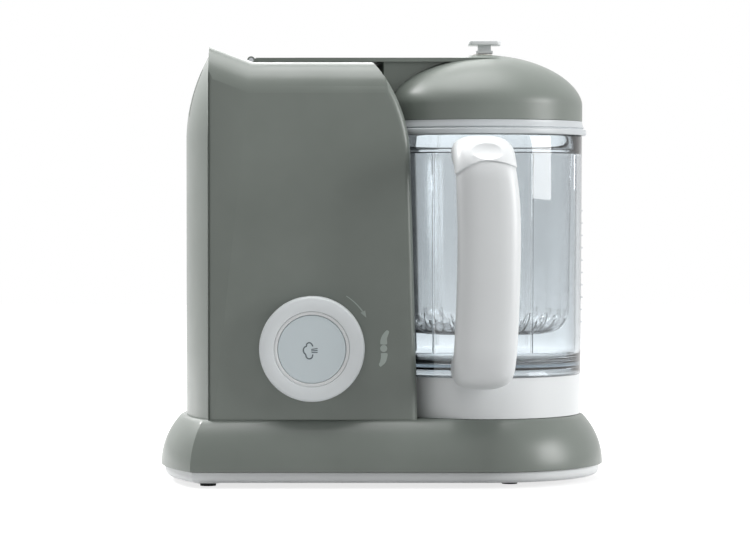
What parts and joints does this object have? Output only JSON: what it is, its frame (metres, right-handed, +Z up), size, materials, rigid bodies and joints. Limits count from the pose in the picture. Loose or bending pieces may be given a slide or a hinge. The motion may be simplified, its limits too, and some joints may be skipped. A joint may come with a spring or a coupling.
{
  "type": "baby food maker",
  "caption": "Countertop baby food maker: boiler tower with knob, clear blending jug with steam basket and handle, domed lid on a hinged arm, shared flared base.",
  "frame": {"origin": "centre of the appliance's overall footprint at the table surface", "axes": "+Z up; +Y from the front with the knob and handle to the back; +X from the tower to the jug"},
  "size_m": [0.272, 0.18, 0.2696],
  "materials": {
    "shell_grey": "satin grey-green ABS moulding",
    "dome_grey": "satin grey-green moulding of the lid",
    "white_plastic": "white satin-gloss moulding",
    "knob_plastic": "pale cool-white moulding",
    "mark_ink": "pale printed mark",
    "clear_plastic": "clear moulded copolyester",
    "milky_plastic": "translucent milky polypropylene",
    "rubber_black": "matte black rubber",
    "silicone": "grey silicone",
    "engineering_plastic": "natural nylon",
    "dark_plastic": "black phenolic or nylon",
    "steel": "zinc plated or bright steel",
    "stainless": "stainless steel",
    "bronze": "sintered bronze",
    "copper": "copper",
    "lamination": "varnished steel laminations",
    "heater_sheath": "heat-darkened sheath",
    "board_green": "circuit board"
  },
  "bodies": {
    "base": {"base_cover": "shell_grey", "base_tray": "white_plastic", "foot_pads": "rubber_black", "case_screws": "steel", "cord_gland": "rubber_black", "spindle_housing": "engineering_plastic", "spindle_bearings": "bronze", "drive_belt": "rubber_black", "tower_shell": "shell_grey", "front_marks": "mark_ink", "boiler_pot": "stainless", "boiler_collar": "engineering_plastic", "heater_element": "heater_sheath", "boiler_thermostat": "engineering_plastic", "boiler_bracket": "steel", "boiler_screws": "steel", "control_board": "board_green", "board_screws": "steel", "switch_body": "dark_plastic", "lid_microswitch": "dark_plastic", "motor_stator": "lamination", "motor_end_top": "steel", "motor_end_bottom": "steel", "brush_holders": "bronze", "motor_plate": "steel", "motor_grommets": "rubber_black", "motor_screws": "steel", "hinge_pin": "steel"},
    "motor_rotor": {"rotor_shaft": "steel", "rotor_core": "lamination", "commutator": "copper", "motor_fan": "engineering_plastic", "motor_pulley": "dark_plastic"},
    "spindle": {"drive_shaft": "steel", "driven_pulley": "dark_plastic", "drive_coupling": "engineering_plastic"},
    "blade_unit": {"blade_shaft": "stainless", "blade_coupling": "engineering_plastic", "blades": "stainless"},
    "bowl": {"bowl_jar": "clear_plastic", "bowl_collar": "white_plastic", "handle_grip": "white_plastic", "handle_inner": "white_plastic", "handle_screws": "steel", "blade_bush": "stainless", "blade_seal": "silicone", "blade_nut": "stainless", "steam_basket": "milky_plastic"},
    "lid": {"lid_dome": "dome_grey", "lid_ring": "white_plastic", "lid_gasket": "silicone", "arm_cover": "white_plastic", "arm_base": "dome_grey", "boiler_seal": "silicone", "steam_nozzle": "engineering_plastic"},
    "lid_lock": {"lock_button": "white_plastic"},
    "knob": {"knob_ring": "knob_plastic", "knob_light_ring": "knob_plastic", "button_spring": "steel"},
    "button": {"steam_button": "knob_plastic"}
  },
  "joints": [
    {"name": "motor_spin", "type": "hinge", "parent": "base", "child": "motor_rotor", "pos_m": [-0.053, 0.016, 0.06], "axis": [0, 0, 1], "continuous": true},
    {"name": "spindle_spin", "type": "hinge", "parent": "base", "child": "spindle", "pos_m": [0.062, 0.016, 0.04], "axis": [0, 0, 1], "continuous": true},
    {"name": "blade_spin", "type": "hinge", "parent": "base", "child": "blade_unit", "pos_m": [0.062, 0.016, 0.07], "axis": [0, 0, 1], "continuous": true},
    {"name": "bowl_turn", "type": "hinge", "parent": "base", "child": "bowl", "pos_m": [0.062, 0.016, 0.041], "axis": [0, 0, 1], "range_deg": [0, 30]},
    {"name": "lid_hinge", "type": "hinge", "parent": "base", "child": "lid", "pos_m": [-0.0795, 0.016, 0.2562], "axis": [0, -1, 0], "range_deg": [0, 75]},
    {"name": "lock_slide", "type": "slide", "parent": "lid", "child": "lid_lock", "axis": [-1, 0, 0], "range_m": [0, 0.006], "stiffness_N_per_m": 120},
    {"name": "knob_turn", "type": "hinge", "parent": "base", "child": "knob", "pos_m": [-0.0417, -0.0448, 0.083], "axis": [0, 1, 0], "range_deg": [0, 35], "stiffness_Nm_per_rad": 0.25},
    {"name": "button_press", "type": "slide", "parent": "knob", "child": "button", "axis": [0, 1, 0], "range_m": [0, 0.003], "stiffness_N_per_m": 250, "deforming": ["button_spring"]}
  ],
  "couplings": [
    {"joint": "spindle_spin", "follows": "motor_spin", "ratio": 0.25},
    {"joint": "blade_spin", "follows": "motor_spin", "ratio": 0.25}
  ]
}
